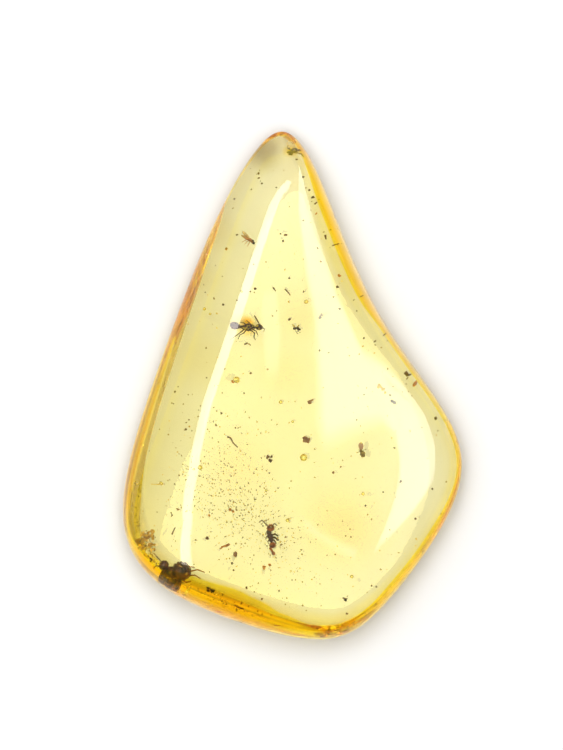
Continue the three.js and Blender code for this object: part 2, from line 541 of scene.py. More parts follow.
def blob(bm, centre, radii, turn=0.0, segments=16):
    """An ellipsoid turned by some degrees about the vertical."""
    matrix = (
        Matrix.Translation(Vector(centre))
        @ Matrix.Rotation(math.radians(turn), 4, "Z")
        @ Matrix.Diagonal((*radii, 1.0))
    )
    bmesh.ops.create_uvsphere(
        bm, u_segments=segments, v_segments=segments // 2 + 2, radius=1.0, matrix=matrix
    )


def rod(bm, start, end, start_radius, end_radius):
    """A tapered rod between two points."""
    start, end = Vector(start), Vector(end)
    along = end - start
    matrix = Matrix.Translation((start + end) / 2) @ along.to_track_quat("Z", "Y").to_matrix().to_4x4()
    bmesh.ops.create_cone(
        bm,
        cap_ends=True,
        segments=8,
        radius1=start_radius,
        radius2=end_radius,
        depth=along.length,
        matrix=matrix,
    )


def limb(bm, points, thick, thin):
    """A jointed leg or feeler: rods from point to point, each thinner than the last, with round knees."""
    steps = len(points) - 1
    for k in range(steps):
        near, far = (thick + (thin - thick) * i / steps for i in (k, k + 1))
        rod(bm, points[k], points[k + 1], near, far)
        blob(bm, points[k + 1], (far * 1.15,) * 3, segments=8)


def beads(bm, start, end, count, radius):
    """A row of touching beads, as in a feeler."""
    start, end = Vector(start), Vector(end)
    for k in range(count):
        blob(bm, start.lerp(end, k / (count - 1)), (radius, radius, radius * 0.9), segments=8)


def ringed(bm, start, end, radii):
    """A segmented body: overlapping rings of these radii from start to end."""
    start, end = Vector(start), Vector(end)
    pitch = (end - start).length / (len(radii) - 1)
    angle = math.degrees(math.atan2(end.y - start.y, end.x - start.x))
    for k, radius in enumerate(radii):
        centre = start.lerp(end, k / (len(radii) - 1))
        blob(bm, centre, (pitch * 0.95, radius, radius * 0.9), angle)


def wing(bm, root, tip, width):
    """A thin leaf-shaped wing from its root to its tip."""
    root, tip = Vector(root), Vector(tip)
    along = tip - root
    angle = math.degrees(math.atan2(along.y, along.x))
    blob(bm, (root + tip) / 2, (along.length / 2, width / 2, WING_HALF_THICKNESS), angle, segments=20)


def crumb(bm, rng, centre, size, flatness, detail=1):
    """An irregular grain, squashed in its own random direction."""
    turn = Matrix.Rotation(rng.uniform(0, math.tau), 4, "Z") @ Matrix.Rotation(rng.uniform(-0.6, 0.6), 4, "X")
    stretch = Matrix.Diagonal((rng.uniform(0.7, 1.3), rng.uniform(0.7, 1.0), flatness, 1.0))
    matrix = Matrix.Translation(Vector(centre)) @ turn @ stretch
    made = bmesh.ops.create_icosphere(bm, subdivisions=detail, radius=size, matrix=matrix)
    for vertex in made["verts"]:
        vertex.co += Vector([rng.uniform(-CRUMB_ROUGHNESS, CRUMB_ROUGHNESS) * size for _ in range(3)])


def add_inclusion(name, bm, material, place, smooth=True):
    """Moves a small thing made in mm round its own middle to its place in the resin, and adds it."""
    bmesh.ops.translate(bm, verts=bm.verts, vec=place)
    bmesh.ops.scale(bm, verts=bm.verts, vec=(MM, MM, MM))
    piece = add_piece(name, bm, material, smooth)


# ---------------------------------------------------------------- finishes of what is sealed in the resin

HAZE_HALF_THICKNESS = 0.10  # in mm


def mottled(name, dark, light, roughness=0.35, grain=3500.0, bump=0.15, alpha=1.0):
    """A finish that wanders between two colours, with a fine uneven surface."""
    material, tree, shader = new_material(name)
    place = tree.nodes.new("ShaderNodeTexCoord").outputs["Object"]
    noise = tree.nodes.new("ShaderNodeTexNoise")
    noise.inputs["Scale"].default_value = grain
    noise.inputs["Detail"].default_value = 4.0
    tree.links.new(place, noise.inputs["Vector"])
    colour = colour_ramp(tree, noise.outputs["Fac"], [(0.36, dark), (0.64, light)])
    tree.links.new(colour, shader.inputs["Base Color"])
    relief = tree.nodes.new("ShaderNodeBump")
    relief.inputs["Strength"].default_value = bump
    relief.inputs["Distance"].default_value = 0.03 * MM
    tree.links.new(noise.outputs["Fac"], relief.inputs["Height"])
    tree.links.new(relief.outputs["Normal"], shader.inputs["Normal"])
    shader.inputs["Roughness"].default_value = roughness
    shader.inputs["Alpha"].default_value = alpha
    return material


def haze(name, place, radii, tint):
    """A stain in the resin: a thin lens that only tints what is seen through it, strongest in its middle."""
    bm = bmesh.new()
    blob(bm, (0, 0, 0), (*radii, HAZE_HALF_THICKNESS), segments=20)
    material, tree, shader = new_material(name)
    where = tree.nodes.new("ShaderNodeTexCoord").outputs["Object"]
    patch = round_patch(tree, where, place.x * MM, place.y * MM, min(radii) * MM)
    tree.links.new(mix_colour(tree, patch, CLEAR, tint), shader.inputs["Base Color"])
    shader.inputs["Transmission Weight"].default_value = 1.0
    shader.inputs["IOR"].default_value = 1.0
    shader.inputs["Roughness"].default_value = 0.0
    add_inclusion(name, bm, material, place)


# ---------------------------------------------------------------- the insects

BEE_MIDDLE = (-14.05, -22.3)  # in plan, in mm

# The bee's round parts: middle, depth under the crown, radii, and turn in degrees.
BEE_LOBES = [
    ((-1.07, 1.13), 1.3, (0.62, 0.55, 0.48), 40),  # head
    ((-1.45, 0.95), 1.1, (0.18, 0.30, 0.26), 30),  # eyes
    ((-0.95, 1.50), 1.1, (0.30, 0.18, 0.26), 30),
    ((-0.35, 0.25), 1.4, (0.80, 0.72, 0.60), 30),  # thorax
    ((1.00, 0.40), 1.6, (1.18, 1.10, 0.90), 20),
    ((-0.15, -0.60), 1.6, (0.90, 0.70, 0.70), 10),
]
# Where its body catches the light, from its middle.
BEE_GLINTS = [(0.9, 1.1), (-0.5, -0.2), (0.3, -0.3), (-1.3, -0.2), (0.1, -1.3), (1.5, 0.2), (-0.7, -1.0)]


class AMBER_OT_bee(bpy.types.Operator):
    """Make the large dark insect curled up in the lower left of the drop"""

    bl_idname = "amber.bee"
    bl_label = "Curled bee"

    def execute(self, context):
        bm = bmesh.new()
        for centre, depth, radii, turn in BEE_LOBES:
            blob(bm, self.seen(*centre, depth), radii, turn, 20)
        for start, end, radii in (
            ((0.15, 0.35), (1.60, 0.80), (0.66, 0.95, 1.05, 1.00, 0.80)),
            ((-0.95, 0.05), (-1.55, -0.95), (0.60, 0.80, 0.82, 0.62)),
        ):
            ringed(bm, self.seen(*start, 1.6), self.seen(*end, 1.6), radii)
        for points in (
            [(-1.20, 1.40), (-1.78, 2.05), (-2.25, 2.55)],
            [(-1.45, 0.95), (-2.00, 1.05), (-2.30, 0.75)],
        ):
            limb(bm, [self.seen(*point, 1.1) for point in points], 0.08, 0.05)
        body = mottled("bee_chitin", (0.006, 0.002, 0.001), (0.170, 0.058, 0.010), 0.3, 1500.0, 0.7)
        add_inclusion("bee_body", bm, body, Vector())

        bm = bmesh.new()
        ringed(bm, self.seen(-0.60, -0.75, 1.6), self.seen(0.40, -1.55, 1.6), (0.72, 0.94, 0.96, 0.80))
        blob(bm, self.seen(-0.45, -1.35, 1.5), (0.85, 0.70, 0.70), -20, 20)
        hairs = mottled("bee_brown", (0.020, 0.007, 0.002), (0.40, 0.17, 0.025), 0.4, 1900.0, 0.8)
        add_inclusion("bee_abdomen", bm, hairs, Vector())

        bm = bmesh.new()
        for points in (
            [(1.5, 0.55), (2.1, 0.45), (2.9, 0.65), (3.7, 0.35)],
            [(1.4, 0.20), (2.0, -0.05), (2.6, 0.00), (3.2, -0.40)],
            [(0.9, -0.50), (1.5, -0.90), (2.1, -0.75)],
            [(1.2, 0.80), (1.9, 1.05), (2.5, 0.90)],
        ):
            limb(bm, [self.seen(*point, 1.5) for point in points], 0.11, 0.06)
        legs = mottled("bee_legs", (0.10, 0.028, 0.006), (0.42, 0.14, 0.02), 0.35, 2500.0)
        add_inclusion("bee_legs", bm, legs, Vector())

        bm = bmesh.new()
        rng = random.Random(3)
        for x, y in BEE_GLINTS:
            for _ in range(5):
                shift = Vector([rng.uniform(-0.22, 0.22) for _ in range(3)]) * Vector((1, 1, 0.4))
                crumb(bm, rng, self.seen(x, y, 0.8) + shift, rng.uniform(0.05, 0.12), 0.4)
        glints = mottled("bee_glints", (0.34, 0.15, 0.02), (0.85, 0.55, 0.14), 0.3, 2500.0, 0.3)
        add_inclusion("bee_glints", bm, glints, Vector(), smooth=False)
        return {"FINISHED"}

    def seen(self, x, y, depth):
        """Where a part of the bee lies that is seen at x, y from its middle, this deep under the crown."""
        east, north = BEE_MIDDLE[0] + x, BEE_MIDDLE[1] + y
        return sunk(east, north, crown_height(east, north) - depth)


class AMBER_OT_winged_ant(bpy.types.Operator):
    """Make the winged ant, its halo and the leg it has lost"""

    bl_idname = "amber.winged_ant"
    bl_label = "Winged ant"

    def execute(self, context):
        place = sunk(-5.28, 6.75, 5.6)
        bm = bmesh.new()
        blob(bm, (-0.92, 0.10, 0.0), (0.15, 0.14, 0.14))  # waist
        blob(bm, (-0.70, 0.06, 0.0), (0.17, 0.18, 0.17))
        ringed(bm, (-0.45, 0.02, 0.0), (0.55, 0.05, 0.05), (0.28, 0.42, 0.48, 0.45, 0.34))  # thorax
        blob(bm, (0.85, 0.06, 0.05), (0.14, 0.13, 0.13))
        blob(bm, (1.24, 0.08, 0.05), (0.42, 0.36, 0.32), -6)  # head
        blob(bm, (1.35, 0.27, 0.18), (0.12, 0.10, 0.10))
        blob(bm, (1.35, -0.12, 0.18), (0.12, 0.10, 0.10))
        beads(bm, (1.30, 0.34, 0.2), (1.20, 0.60, 0.25), 4, 0.07)  # feelers
        beads(bm, (1.14, 0.70, 0.25), (0.78, 1.36, 0.25), 7, 0.09)
        limb(bm, [(1.55, 0.05, 0.1), (1.85, -0.12, 0.1), (1.75, -0.45, 0.1)], 0.05, 0.04)
        for thick, points in (
            (0.075, [(-0.30, -0.15, 0.0), (-0.60, -0.40, 0.2), (-1.07, -0.80, 0.1), (-1.9, -1.45, 0.0)]),
            (0.070, [(-0.10, -0.18, 0.0), (-0.42, -0.60, 0.2), (-0.85, -0.85, 0.1), (-1.05, -1.35, 0.0)]),
            (0.070, [(0.25, -0.18, 0.0), (0.72, -0.62, 0.2), (0.66, -1.10, 0.1), (0.82, -1.42, 0.0)]),
            (0.065, [(0.45, -0.15, 0.0), (0.95, -0.42, 0.2), (1.10, -0.85, 0.1)]),
            (0.065, [(-0.15, 0.22, 0.0), (-0.38, 0.52, 0.2), (-0.80, 0.62, 0.1)]),
            (0.065, [(0.25, 0.22, 0.0), (0.15, 0.62, 0.2), (-0.15, 0.85, 0.1)]),
        ):
            limb(bm, points, thick, 0.035)
        body = mottled("ant_chitin", (0.008, 0.005, 0.002), (0.13, 0.055, 0.010), 0.4, 3600.0, 0.5)
        add_inclusion("winged_ant_body", bm, body, place)

        bm = bmesh.new()
        blob(bm, (-1.42, 0.20, 0.05), (0.50, 0.47, 0.42))
        blob(bm, (-1.02, 0.12, 0.0), (0.24, 0.26, 0.24))
        gaster = mottled("ant_gaster", (0.05, 0.025, 0.03), (0.24, 0.14, 0.15), 0.45, 2500.0, 0.4)
        add_inclusion("winged_ant_gaster", bm, gaster, place)

        bm = bmesh.new()
        rng = random.Random(19)
        for _ in range(26):
            centre = (rng.uniform(-0.5, 1.3), rng.uniform(-0.22, 0.30), rng.uniform(0.42, 0.52))
            crumb(bm, rng, centre, rng.uniform(0.05, 0.11), 0.4)
        flecks = mottled("ant_flecks", (0.30, 0.22, 0.01), (0.80, 0.62, 0.08), 0.4, 2500.0, 0.2)
        add_inclusion("winged_ant_flecks", bm, flecks, place, smooth=False)

        bm = bmesh.new()
        limb(bm, [(-0.45, -1.95, 0.2), (-0.10, -1.78, 0.2), (0.25, -2.02, 0.2)], 0.07, 0.05)
        blob(bm, (-0.25, -1.88, 0.2), (0.16, 0.10, 0.08), 30)
        legs = mottled("loose_leg", (0.10, 0.05, 0.01), (0.45, 0.22, 0.04), 0.4, 3000.0)
        add_inclusion("winged_ant_lost_leg", bm, legs, place)

        haze("winged_ant_halo", place + Vector((0.1, 0.15, -1.0)), (1.9, 1.55), (1.0, 0.76, 0.14))
        haze("winged_ant_stain", place + Vector((0.0, 0.60, -1.3)), (1.2, 0.90), (0.94, 0.66, 0.12))
        return {"FINISHED"}


class AMBER_OT_ant(bpy.types.Operator):
    """Make the small brown ant"""

    bl_idname = "amber.ant"
    bl_label = "Ant"

    def execute(self, context):
        place = sunk(-2.55, -17.79, 6.0)
        bm = bmesh.new()
        blob(bm, (-0.22, 0.46, 0.0), (0.31, 0.36, 0.28), 10)  # thorax
        blob(bm, (-0.10, 0.02, 0.0), (0.34, 0.34, 0.30))
        blob(bm, (0.04, -0.38, 0.0), (0.28, 0.30, 0.26))
        blob(bm, (0.08, -0.68, 0.02), (0.14, 0.14, 0.16))
        for thick, thin, points in (
            (0.075, 0.05, [(-0.30, 1.15, 0.1), (-0.62, 1.45, 0.2), (-1.03, 1.88, 0.2), (-1.30, 1.62, 0.2)]),
            (0.06, 0.04, [(0.18, 1.22, 0.1), (0.42, 1.50, 0.2), (0.70, 1.25, 0.2)]),
            (0.12, 0.06, [(0.12, 0.16, 0.0), (0.45, 0.26, 0.2), (0.70, 0.10, 0.0), (0.82, 0.16, 0.0)]),
            (0.12, 0.06, [(0.12, -0.12, 0.0), (0.48, -0.12, 0.2), (0.74, -0.42, 0.0), (0.90, -0.40, 0.0)]),
            (0.11, 0.06, [(0.10, -0.35, 0.0), (0.42, -0.48, 0.2), (0.58, -0.78, 0.0)]),
            (0.07, 0.04, [(-0.30, 0.05, 0.0), (-0.50, 0.00, 0.1), (-0.55, -0.30, 0.0)]),
            (0.07, 0.04, [(-0.15, -0.35, 0.0), (-0.34, -0.55, 0.1), (-0.30, -0.85, 0.0)]),
        ):
            limb(bm, points, thick, thin)
        body = mottled("ant_dark", (0.008, 0.003, 0.001), (0.09, 0.028, 0.006), 0.35, 3000.0, 0.5)
        add_inclusion("ant_thorax", bm, body, place)

        bm = bmesh.new()
        blob(bm, (-0.04, 0.97, 0.05), (0.46, 0.42, 0.38), 15)  # head
        limb(bm, [(0.05, 1.28, 0.05), (0.12, 1.44, 0.05)], 0.07, 0.03)
        limb(bm, [(-0.15, 1.28, 0.05), (-0.18, 1.44, 0.05)], 0.07, 0.03)
        ringed(bm, (0.12, -0.82, 0.0), (0.26, -1.22, 0.0), (0.32, 0.42, 0.40, 0.28))  # gaster
        limb(bm, [(-0.12, -1.30, 0.0), (0.10, -1.62, 0.0), (0.38, -2.05, 0.0)], 0.15, 0.10)
        blob(bm, (0.30, -1.95, 0.0), (0.20, 0.26, 0.16), 35)
        rust = mottled("ant_rust", (0.07, 0.014, 0.002), (0.50, 0.15, 0.015), 0.28, 2400.0, 0.4)
        add_inclusion("ant_head_and_gaster", bm, rust, place)
        return {"FINISHED"}


class AMBER_OT_flies(bpy.types.Operator):
    """Make the three small flies"""

    bl_idname = "amber.flies"
    bl_label = "Small flies"

    def execute(self, context):
        self.orange_fly()
        self.black_fly()
        self.pale_fly()
        return {"FINISHED"}

    def orange_fly(self):
        place = sunk(-5.16, 17.19, 5.5)
        bm = bmesh.new()
        blob(bm, (0.40, -0.20, 0.05), (0.16, 0.15, 0.16))
        blob(bm, (0.50, -0.45, 0.05), (0.16, 0.15, 0.16))
        dark = mottled("fly_eyes", (0.008, 0.003, 0.002), (0.06, 0.012, 0.006), 0.2, 5000.0)
        add_inclusion("orange_fly_eyes", bm, dark, place)
        bm = bmesh.new()
        blob(bm, (0.36, -0.30, 0.0), (0.16, 0.20, 0.15), 30)
        blob(bm, (0.12, -0.08, 0.0), (0.28, 0.22, 0.22), -30)
        ringed(bm, (-0.05, 0.02, 0.0), (-0.55, 0.30, 0.0), (0.18, 0.20, 0.17, 0.10))
        limb(bm, [(0.05, -0.15, 0.0), (-0.25, -0.32, 0.1), (-0.42, -0.62, 0.0)], 0.045, 0.025)
        limb(bm, [(0.15, -0.25, 0.0), (0.00, -0.52, 0.1), (-0.15, -0.85, 0.0)], 0.045, 0.025)
        limb(bm, [(-0.05, -0.05, 0.0), (-0.42, -0.15, 0.1), (-0.72, -0.38, 0.0)], 0.045, 0.025)
        body = mottled("orange_fly", (0.26, 0.075, 0.012), (0.62, 0.26, 0.04), 0.35, 3600.0, 0.3)
        add_inclusion("orange_fly_body", bm, body, place)
        bm = bmesh.new()
        wing(bm, (0.10, 0.02, 0.1), (-0.72, 0.95, 0.15), 0.34)
        wing(bm, (0.05, 0.0, 0.1), (-0.85, 0.48, 0.12), 0.30)
        membrane = mottled("fly_wing", (0.62, 0.38, 0.06), (0.85, 0.62, 0.18), 0.25, 3000.0, 0.2, 0.55)
        add_inclusion("orange_fly_wings", bm, membrane, place)

    def black_fly(self):
        place = sunk(0.53, 6.64, 5.5)
        bm = bmesh.new()
        blob(bm, (-0.28, 0.02, 0.0), (0.20, 0.17, 0.15), 20)
        blob(bm, (0.05, 0.06, 0.02), (0.20, 0.16, 0.15))
        blob(bm, (0.28, -0.10, 0.0), (0.15, 0.13, 0.12))
        limb(bm, [(-0.15, -0.10, 0.0), (-0.10, -0.42, 0.1), (0.10, -0.62, 0.0)], 0.035, 0.02)
        limb(bm, [(0.10, -0.08, 0.0), (0.22, -0.42, 0.1), (0.42, -0.50, 0.0)], 0.035, 0.02)
        limb(bm, [(0.02, -0.08, 0.0), (0.05, -0.36, 0.1), (-0.05, -0.60, 0.0)], 0.035, 0.02)
        dark = mottled("black_fly", (0.006, 0.003, 0.002), (0.05, 0.025, 0.010), 0.25, 5000.0, 0.3)
        add_inclusion("black_fly_body", bm, dark, place)
        bm = bmesh.new()
        wing(bm, (-0.20, 0.10, 0.1), (-0.55, 0.52, 0.12), 0.24)
        wing(bm, (0.0, 0.12, 0.1), (0.25, 0.45, 0.12), 0.18)
        membrane = mottled("black_fly_wing", (0.60, 0.42, 0.05), (0.80, 0.62, 0.12), 0.25, 3000.0, 0.2, 0.5)
        add_inclusion("black_fly_wings", bm, membrane, place)

    def pale_fly(self):
        place = sunk(8.12, -7.71, 5.0)
        bm = bmesh.new()
        ringed(bm, (0.05, -0.18, 0.0), (0.18, -0.60, 0.0), (0.22, 0.32, 0.26))
        blob(bm, (-0.08, 0.02, 0.0), (0.17, 0.15, 0.14))
        limb(bm, [(-0.52, -0.28, 0.1), (0.0, -0.05, 0.12), (0.55, 0.16, 0.1)], 0.045, 0.03)
        limb(bm, [(-0.40, 0.10, 0.1), (0.0, 0.0, 0.1), (0.42, -0.22, 0.1)], 0.035, 0.025)
        olive = mottled("pale_fly", (0.10, 0.065, 0.015), (0.42, 0.30, 0.06), 0.35, 4200.0, 0.3)
        add_inclusion("pale_fly_body", bm, olive, place)
        bm = bmesh.new()
        wing(bm, (-0.02, 0.05, 0.1), (-0.08, 0.95, 0.12), 0.56)
        membrane = mottled("pale_fly_wing", (0.50, 0.24, 0.14), (0.70, 0.40, 0.26), 0.3, 2500.0, 0.2, 0.7)
        add_inclusion("pale_fly_wing", bm, membrane, place)


# ---------------------------------------------------------------- plant bits and dust

# The larger crumbs, by piece: darker colour, lighter colour, and each crumb's place in plan and half width
# in mm.
CRUMBS = {
    "brown_crumbs": (
        (0.020, 0.008, 0.002),
        (0.16, 0.06, 0.012),
        [
            (-4.0, 25.0, 0.14), (-4.0, 24.5, 0.13), (-3.6, 23.8, 0.13), (-4.9, 23.1, 0.11),
            (-6.9, 22.0, 0.14), (-9.3, 18.4, 0.12), (-6.6, 17.7, 0.12), (-4.6, 14.2, 0.12),
            (-4.4, 11.3, 0.18), (-5.0, 11.0, 0.11), (-0.4, 12.6, 0.14), (-0.8, 17.6, 0.17),
            (-1.1, 17.0, 0.14), (1.3, 19.4, 0.13), (1.3, 11.0, 0.12), (-0.4, 7.7, 0.19),
            (3.0, 16.1, 0.13), (3.4, 21.6, 0.12), (2.6, 22.2, 0.14), (3.0, 23.2, 0.12),
            (1.3, 24.5, 0.13), (0.6, 26.7, 0.12), (5.3, 11.6, 0.17), (-8.2, 9.5, 0.13),
            (5.5, 9.0, 0.15), (8.4, 5.5, 0.13), (3.2, 4.1, 0.12), (-4.9, 1.4, 0.16),
            (-5.7, -1.0, 0.12), (-8.4, -3.3, 0.13), (-9.0, -4.7, 0.14), (-12.6, -5.2, 0.12),
            (-13.9, -0.8, 0.13), (-15.9, 0.1, 0.12), (12.0, -7.4, 0.13), (12.7, -11.4, 0.17),
            (16.5, -12.3, 0.12), (14.5, -15.8, 0.14), (8.6, -14.2, 0.12), (6.2, -25.3, 0.19),
            (6.4, -27.0, 0.15), (9.9, -23.8, 0.13), (-6.7, -27.0, 0.10), (-3.6, -27.2, 0.10),
            (-5.4, -23.9, 0.14), (-3.6, -25.2, 0.14), (-1.6, -24.2, 0.12), (-7.1, -21.0, 0.15),
            (-7.0, -21.8, 0.14), (-10.0, -18.0, 0.18), (17.0, -3.9, 0.20), (-2.9, -8.5, 0.24),
            (-2.6, -8.9, 0.26), (-2.5, -8.4, 0.16),
        ],
    ),
    "tan_crumbs": (
        (0.22, 0.10, 0.05),
        (0.48, 0.28, 0.14),
        [
            (2.0, -2.0, 0.28), (2.3, -1.8, 0.18), (1.4, -6.4, 0.36), (1.8, -6.6, 0.32),
            (3.3, 14.6, 0.17), (-6.7, -19.9, 0.34), (-13.5, -14.7, 0.18), (-0.8, -17.9, 0.16),
            (4.8, -10.3, 0.17), (5.7, -9.6, 0.14),
        ],
    ),
    "orange_crumbs": (
        (0.40, 0.13, 0.01),
        (0.72, 0.32, 0.03),
        [
            (-7.8, 16.1, 0.20), (-3.3, -21.5, 0.22), (-2.7, -21.2, 0.16), (-7.4, -14.7, 0.22),
            (-7.0, -14.9, 0.16), (2.8, 20.2, 0.15), (5.6, 12.9, 0.20), (14.6, 0.3, 0.20),
            (-7.0, 0.4, 0.20), (-9.8, -15.3, 0.16),
        ],
    ),
    "grey_crumbs": (
        (0.20, 0.18, 0.18),
        (0.42, 0.38, 0.38),
        [(11.7, -1.8, 0.24), (12.0, -2.1, 0.22), (11.5, -1.2, 0.14), (3.2, 8.0, 0.24), (3.4, 8.3, 0.16)],
    ),
    "yellow_flake": (
        (0.72, 0.56, 0.08),
        (0.92, 0.80, 0.24),
        [(10.2, -0.1, 0.26), (10.6, -0.4, 0.28), (10.9, -0.9, 0.18)],
    ),
}

# The threads, by piece: darker colour, lighter colour, and the points in plan that each thread runs through.
THREADS = {
    "brown_threads": (
        (0.03, 0.012, 0.003),
        (0.20, 0.08, 0.014),
        [
            [(-7.7, -6.1), (-7.3, -6.2), (-7.0, -6.8), (-6.5, -7.3)],
            [(-0.9, 11.3), (-0.6, 11.0), (-0.3, 10.6)],
            [(-2.3, 11.5), (-2.0, 11.1)],
            [(3.9, 17.7), (4.0, 17.2)],
            [(-14.2, -17.6), (-13.9, -16.9)],
            [(13.4, 1.6), (13.7, 1.2), (14.1, 1.3)],
            [(5.9, -25.1), (6.4, -25.2)],
        ],
    ),
    "worm_like_bits": (
        (0.24, 0.07, 0.012),
        (0.55, 0.22, 0.04),
        [
            [(-8.5, -19.3), (-8.2, -19.0), (-7.8, -19.0), (-7.4, -18.8)],
            [(-8.4, -19.1), (-7.9, -18.9), (-7.5, -18.7)],
        ],
    ),
    "pale_threads": (
        (0.80, 0.62, 0.20),
        (0.95, 0.85, 0.50),
        [
            [(-19.3, -11.7), (-18.4, -11.7)],
            [(-15.5, -11.7), (-16.0, -11.7), (-16.6, -11.7)],
            [(-8.4, -25.4), (-8.0, -25.6), (-7.8, -26.0)],
            [(-9.2, -24.7), (-8.8, -24.6), (-8.6, -24.9)],
        ],
    ),
}
THREAD_RADII = (0.09, 0.06)  # at the start and at the end of a thread, in mm

HIGHEST = 5.0  # no crumb or thread lies above this height, in mm
DEPTH_SHARE = 0.6  # where the crown is low they lie at this share of its height


def debris_place(x, y):
    """Where a crumb or thread lies that is seen at x, y."""
    return sunk(x, y, min(HIGHEST, DEPTH_SHARE * crown_height(x, y)))


class AMBER_OT_debris(bpy.types.Operator):
    """Make the flakes, crumbs, threads and seed-like bits of plant"""

    bl_idname = "amber.debris"
    bl_label = "Plant debris"

    def execute(self, context):
        rng = random.Random(41)
        self.flake_cluster(rng)
        self.tip_debris(rng)
        self.crumbs(rng)
        self.threads()
        return {"FINISHED"}

    def flake_cluster(self, rng):
        """The nest of torn golden-brown flakes at the lower left edge."""
        place = sunk(-16.9, -18.4, 5.2)
        for name, count, size, dark, light in (
            ("flake_nest", 24, 0.34, (0.36, 0.17, 0.01), (0.92, 0.62, 0.10)),
            ("flake_glints", 16, 0.17, (0.85, 0.75, 0.40), (1.0, 0.95, 0.75)),
            ("flake_grit", 44, 0.08, (0.06, 0.025, 0.004), (0.30, 0.14, 0.02)),
        ):
            bm = bmesh.new()
            for _ in range(count):
                angle, reach = rng.uniform(0, math.tau), rng.uniform(0, 1) ** 0.6
                x, y = 1.05 * reach * math.cos(angle), 1.25 * reach * math.sin(angle)
                centre = (x, y, rng.uniform(-0.4, 0.5))
                crumb(bm, rng, centre, size * rng.uniform(0.5, 1.2), flatness=0.28)
            add_inclusion(name, bm, mottled(name, dark, light, 0.3, 1800.0, 0.4), place, smooth=False)

    def tip_debris(self, rng):
        """The green-brown clot near the pointed end, with its yellow haze."""
        place = sunk(-0.05, 27.65, 3.4)
        bm = bmesh.new()
        for _ in range(24):
            centre = (rng.gauss(0.0, 0.22), rng.gauss(0.0, 0.28), rng.uniform(-0.2, 0.2))
            crumb(bm, rng, centre, rng.uniform(0.07, 0.20), flatness=0.5)
        limb(bm, [(-0.15, 0.2, 0.0), (-0.50, 0.55, 0.1), (-0.45, 0.95, 0.1)], 0.06, 0.04)
        limb(bm, [(0.15, -0.2, 0.0), (0.55, -0.35, 0.1), (0.72, -0.70, 0.1)], 0.06, 0.04)
        clot = mottled("tip_clot", (0.05, 0.05, 0.005), (0.42, 0.32, 0.02), 0.4, 1800.0, 0.4)
        add_inclusion("tip_clot", bm, clot, place, smooth=False)
        haze("tip_haze", place + Vector((-0.1, 0.0, -0.6)), (1.15, 1.10), (1.0, 0.80, 0.10))
        bm = bmesh.new()
        turns = [0.3 + 0.9 * k for k in range(6)]
        limb(bm, [(0.30 * math.cos(t) - 0.3, 1.15 + 0.40 * math.sin(t), 0.0) for t in turns], 0.035, 0.03)
        limb(bm, [(0.0, 1.0, 0.0), (0.12, 1.35, 0.0), (0.05, 1.75, 0.0)], 0.03, 0.02)
        pale = mottled("tip_swirl", (0.80, 0.62, 0.20), (0.95, 0.85, 0.45), 0.4)
        add_inclusion("tip_swirl", bm, pale, place)

    def crumbs(self, rng):
        """The larger crumbs, each a few grains stuck together."""
        for name, (dark, light, grains) in CRUMBS.items():
            bm = bmesh.new()
            for x, y, size in grains:
                for _ in range(4):
                    shift = Vector([rng.uniform(-0.5, 0.5) * size for _ in range(3)])
                    centre = debris_place(x, y) + shift
                    crumb(bm, rng, centre, 0.75 * size * rng.uniform(0.6, 1.1), flatness=0.6, detail=2)
            add_inclusion(name, bm, mottled(name, dark, light, 0.45, 2600.0, 0.3), Vector(), smooth=False)

    def threads(self):
        """Thin dark and pale threads, and the worm-like bits."""
        for name, (dark, light, runs) in THREADS.items():
            bm = bmesh.new()
            for points in runs:
                limb(bm, [debris_place(x, y) for x, y in points], *THREAD_RADII)
            add_inclusion(name, bm, mottled(name, dark, light, 0.4, 2600.0), Vector())


# Clouds of dust: middle and spread in plan in mm, number of specks, and their usual radius in mm.
DUST_CLOUDS = [
    ((-7.9, -13.0), (2.9, 3.0), 360, 0.068),
    ((-5.4, -15.6), (1.7, 1.5), 160, 0.063),
    ((-2.4, -17.6), (1.5, 2.0), 90, 0.072),
    ((-12.6, -12.0), (2.4, 4.0), 70, 0.068),
    ((-8.5, -5.0), (3.2, 3.5), 80, 0.072),
    ((-1.5, -21.5), (3.6, 2.6), 90, 0.076),
]
# The same dust in three colours: share of the specks, darker colour, lighter colour and roughness.
DUST_COLOURS = {
    "dark_dust": (0.35, (0.03, 0.014, 0.003), (0.18, 0.08, 0.015), 0.5),
    "olive_dust": (0.45, (0.16, 0.11, 0.012), (0.42, 0.29, 0.05), 0.5),
    # The gold specks are partly pale grains and partly painted glints, sparkles of light in the dust.
    "gold_dust_and_glints": (0.25, (0.62, 0.40, 0.05), (0.95, 0.80, 0.30), 0.4),
}
SCATTERED = 400  # specks thrown over the whole drop
SCATTERED_RADIUS = 0.082  # in mm
THINNEST = 4.5  # least height in mm of the crown over a speck


class AMBER_OT_dust(bpy.types.Operator):
    """Make the cloud of dust and the specks scattered through the drop"""

    bl_idname = "amber.dust"
    bl_label = "Dust and specks"

    def execute(self, context):
        rng = random.Random(12)
        for name, (share, dark, light, roughness) in DUST_COLOURS.items():
            bm = bmesh.new()
            for (x, y), (wide, high), count, size in DUST_CLOUDS:
                for _ in range(int(share * count)):
                    self.speck(bm, rng, rng.gauss(x, wide), rng.gauss(y, high), size)
            for _ in range(int(share * SCATTERED)):
                self.speck(bm, rng, rng.uniform(-19, 19), rng.uniform(-28, 28), SCATTERED_RADIUS)
            add_inclusion(name, bm, mottled(name, dark, light, roughness, 900.0), Vector(), smooth=False)
        return {"FINISHED"}

    def speck(self, bm, rng, x, y, size):
        """One speck, left out where the drop is too thin to hold it."""
        top = crown_height(x, y)
        if top < THINNEST:
            return
        centre = sunk(x, y, rng.uniform(0.3, 0.8) * top)
        crumb(bm, rng, centre, size * rng.uniform(0.45, 1.5), flatness=rng.uniform(0.4, 1.0))


# ---------------------------------------------------------------- the studio

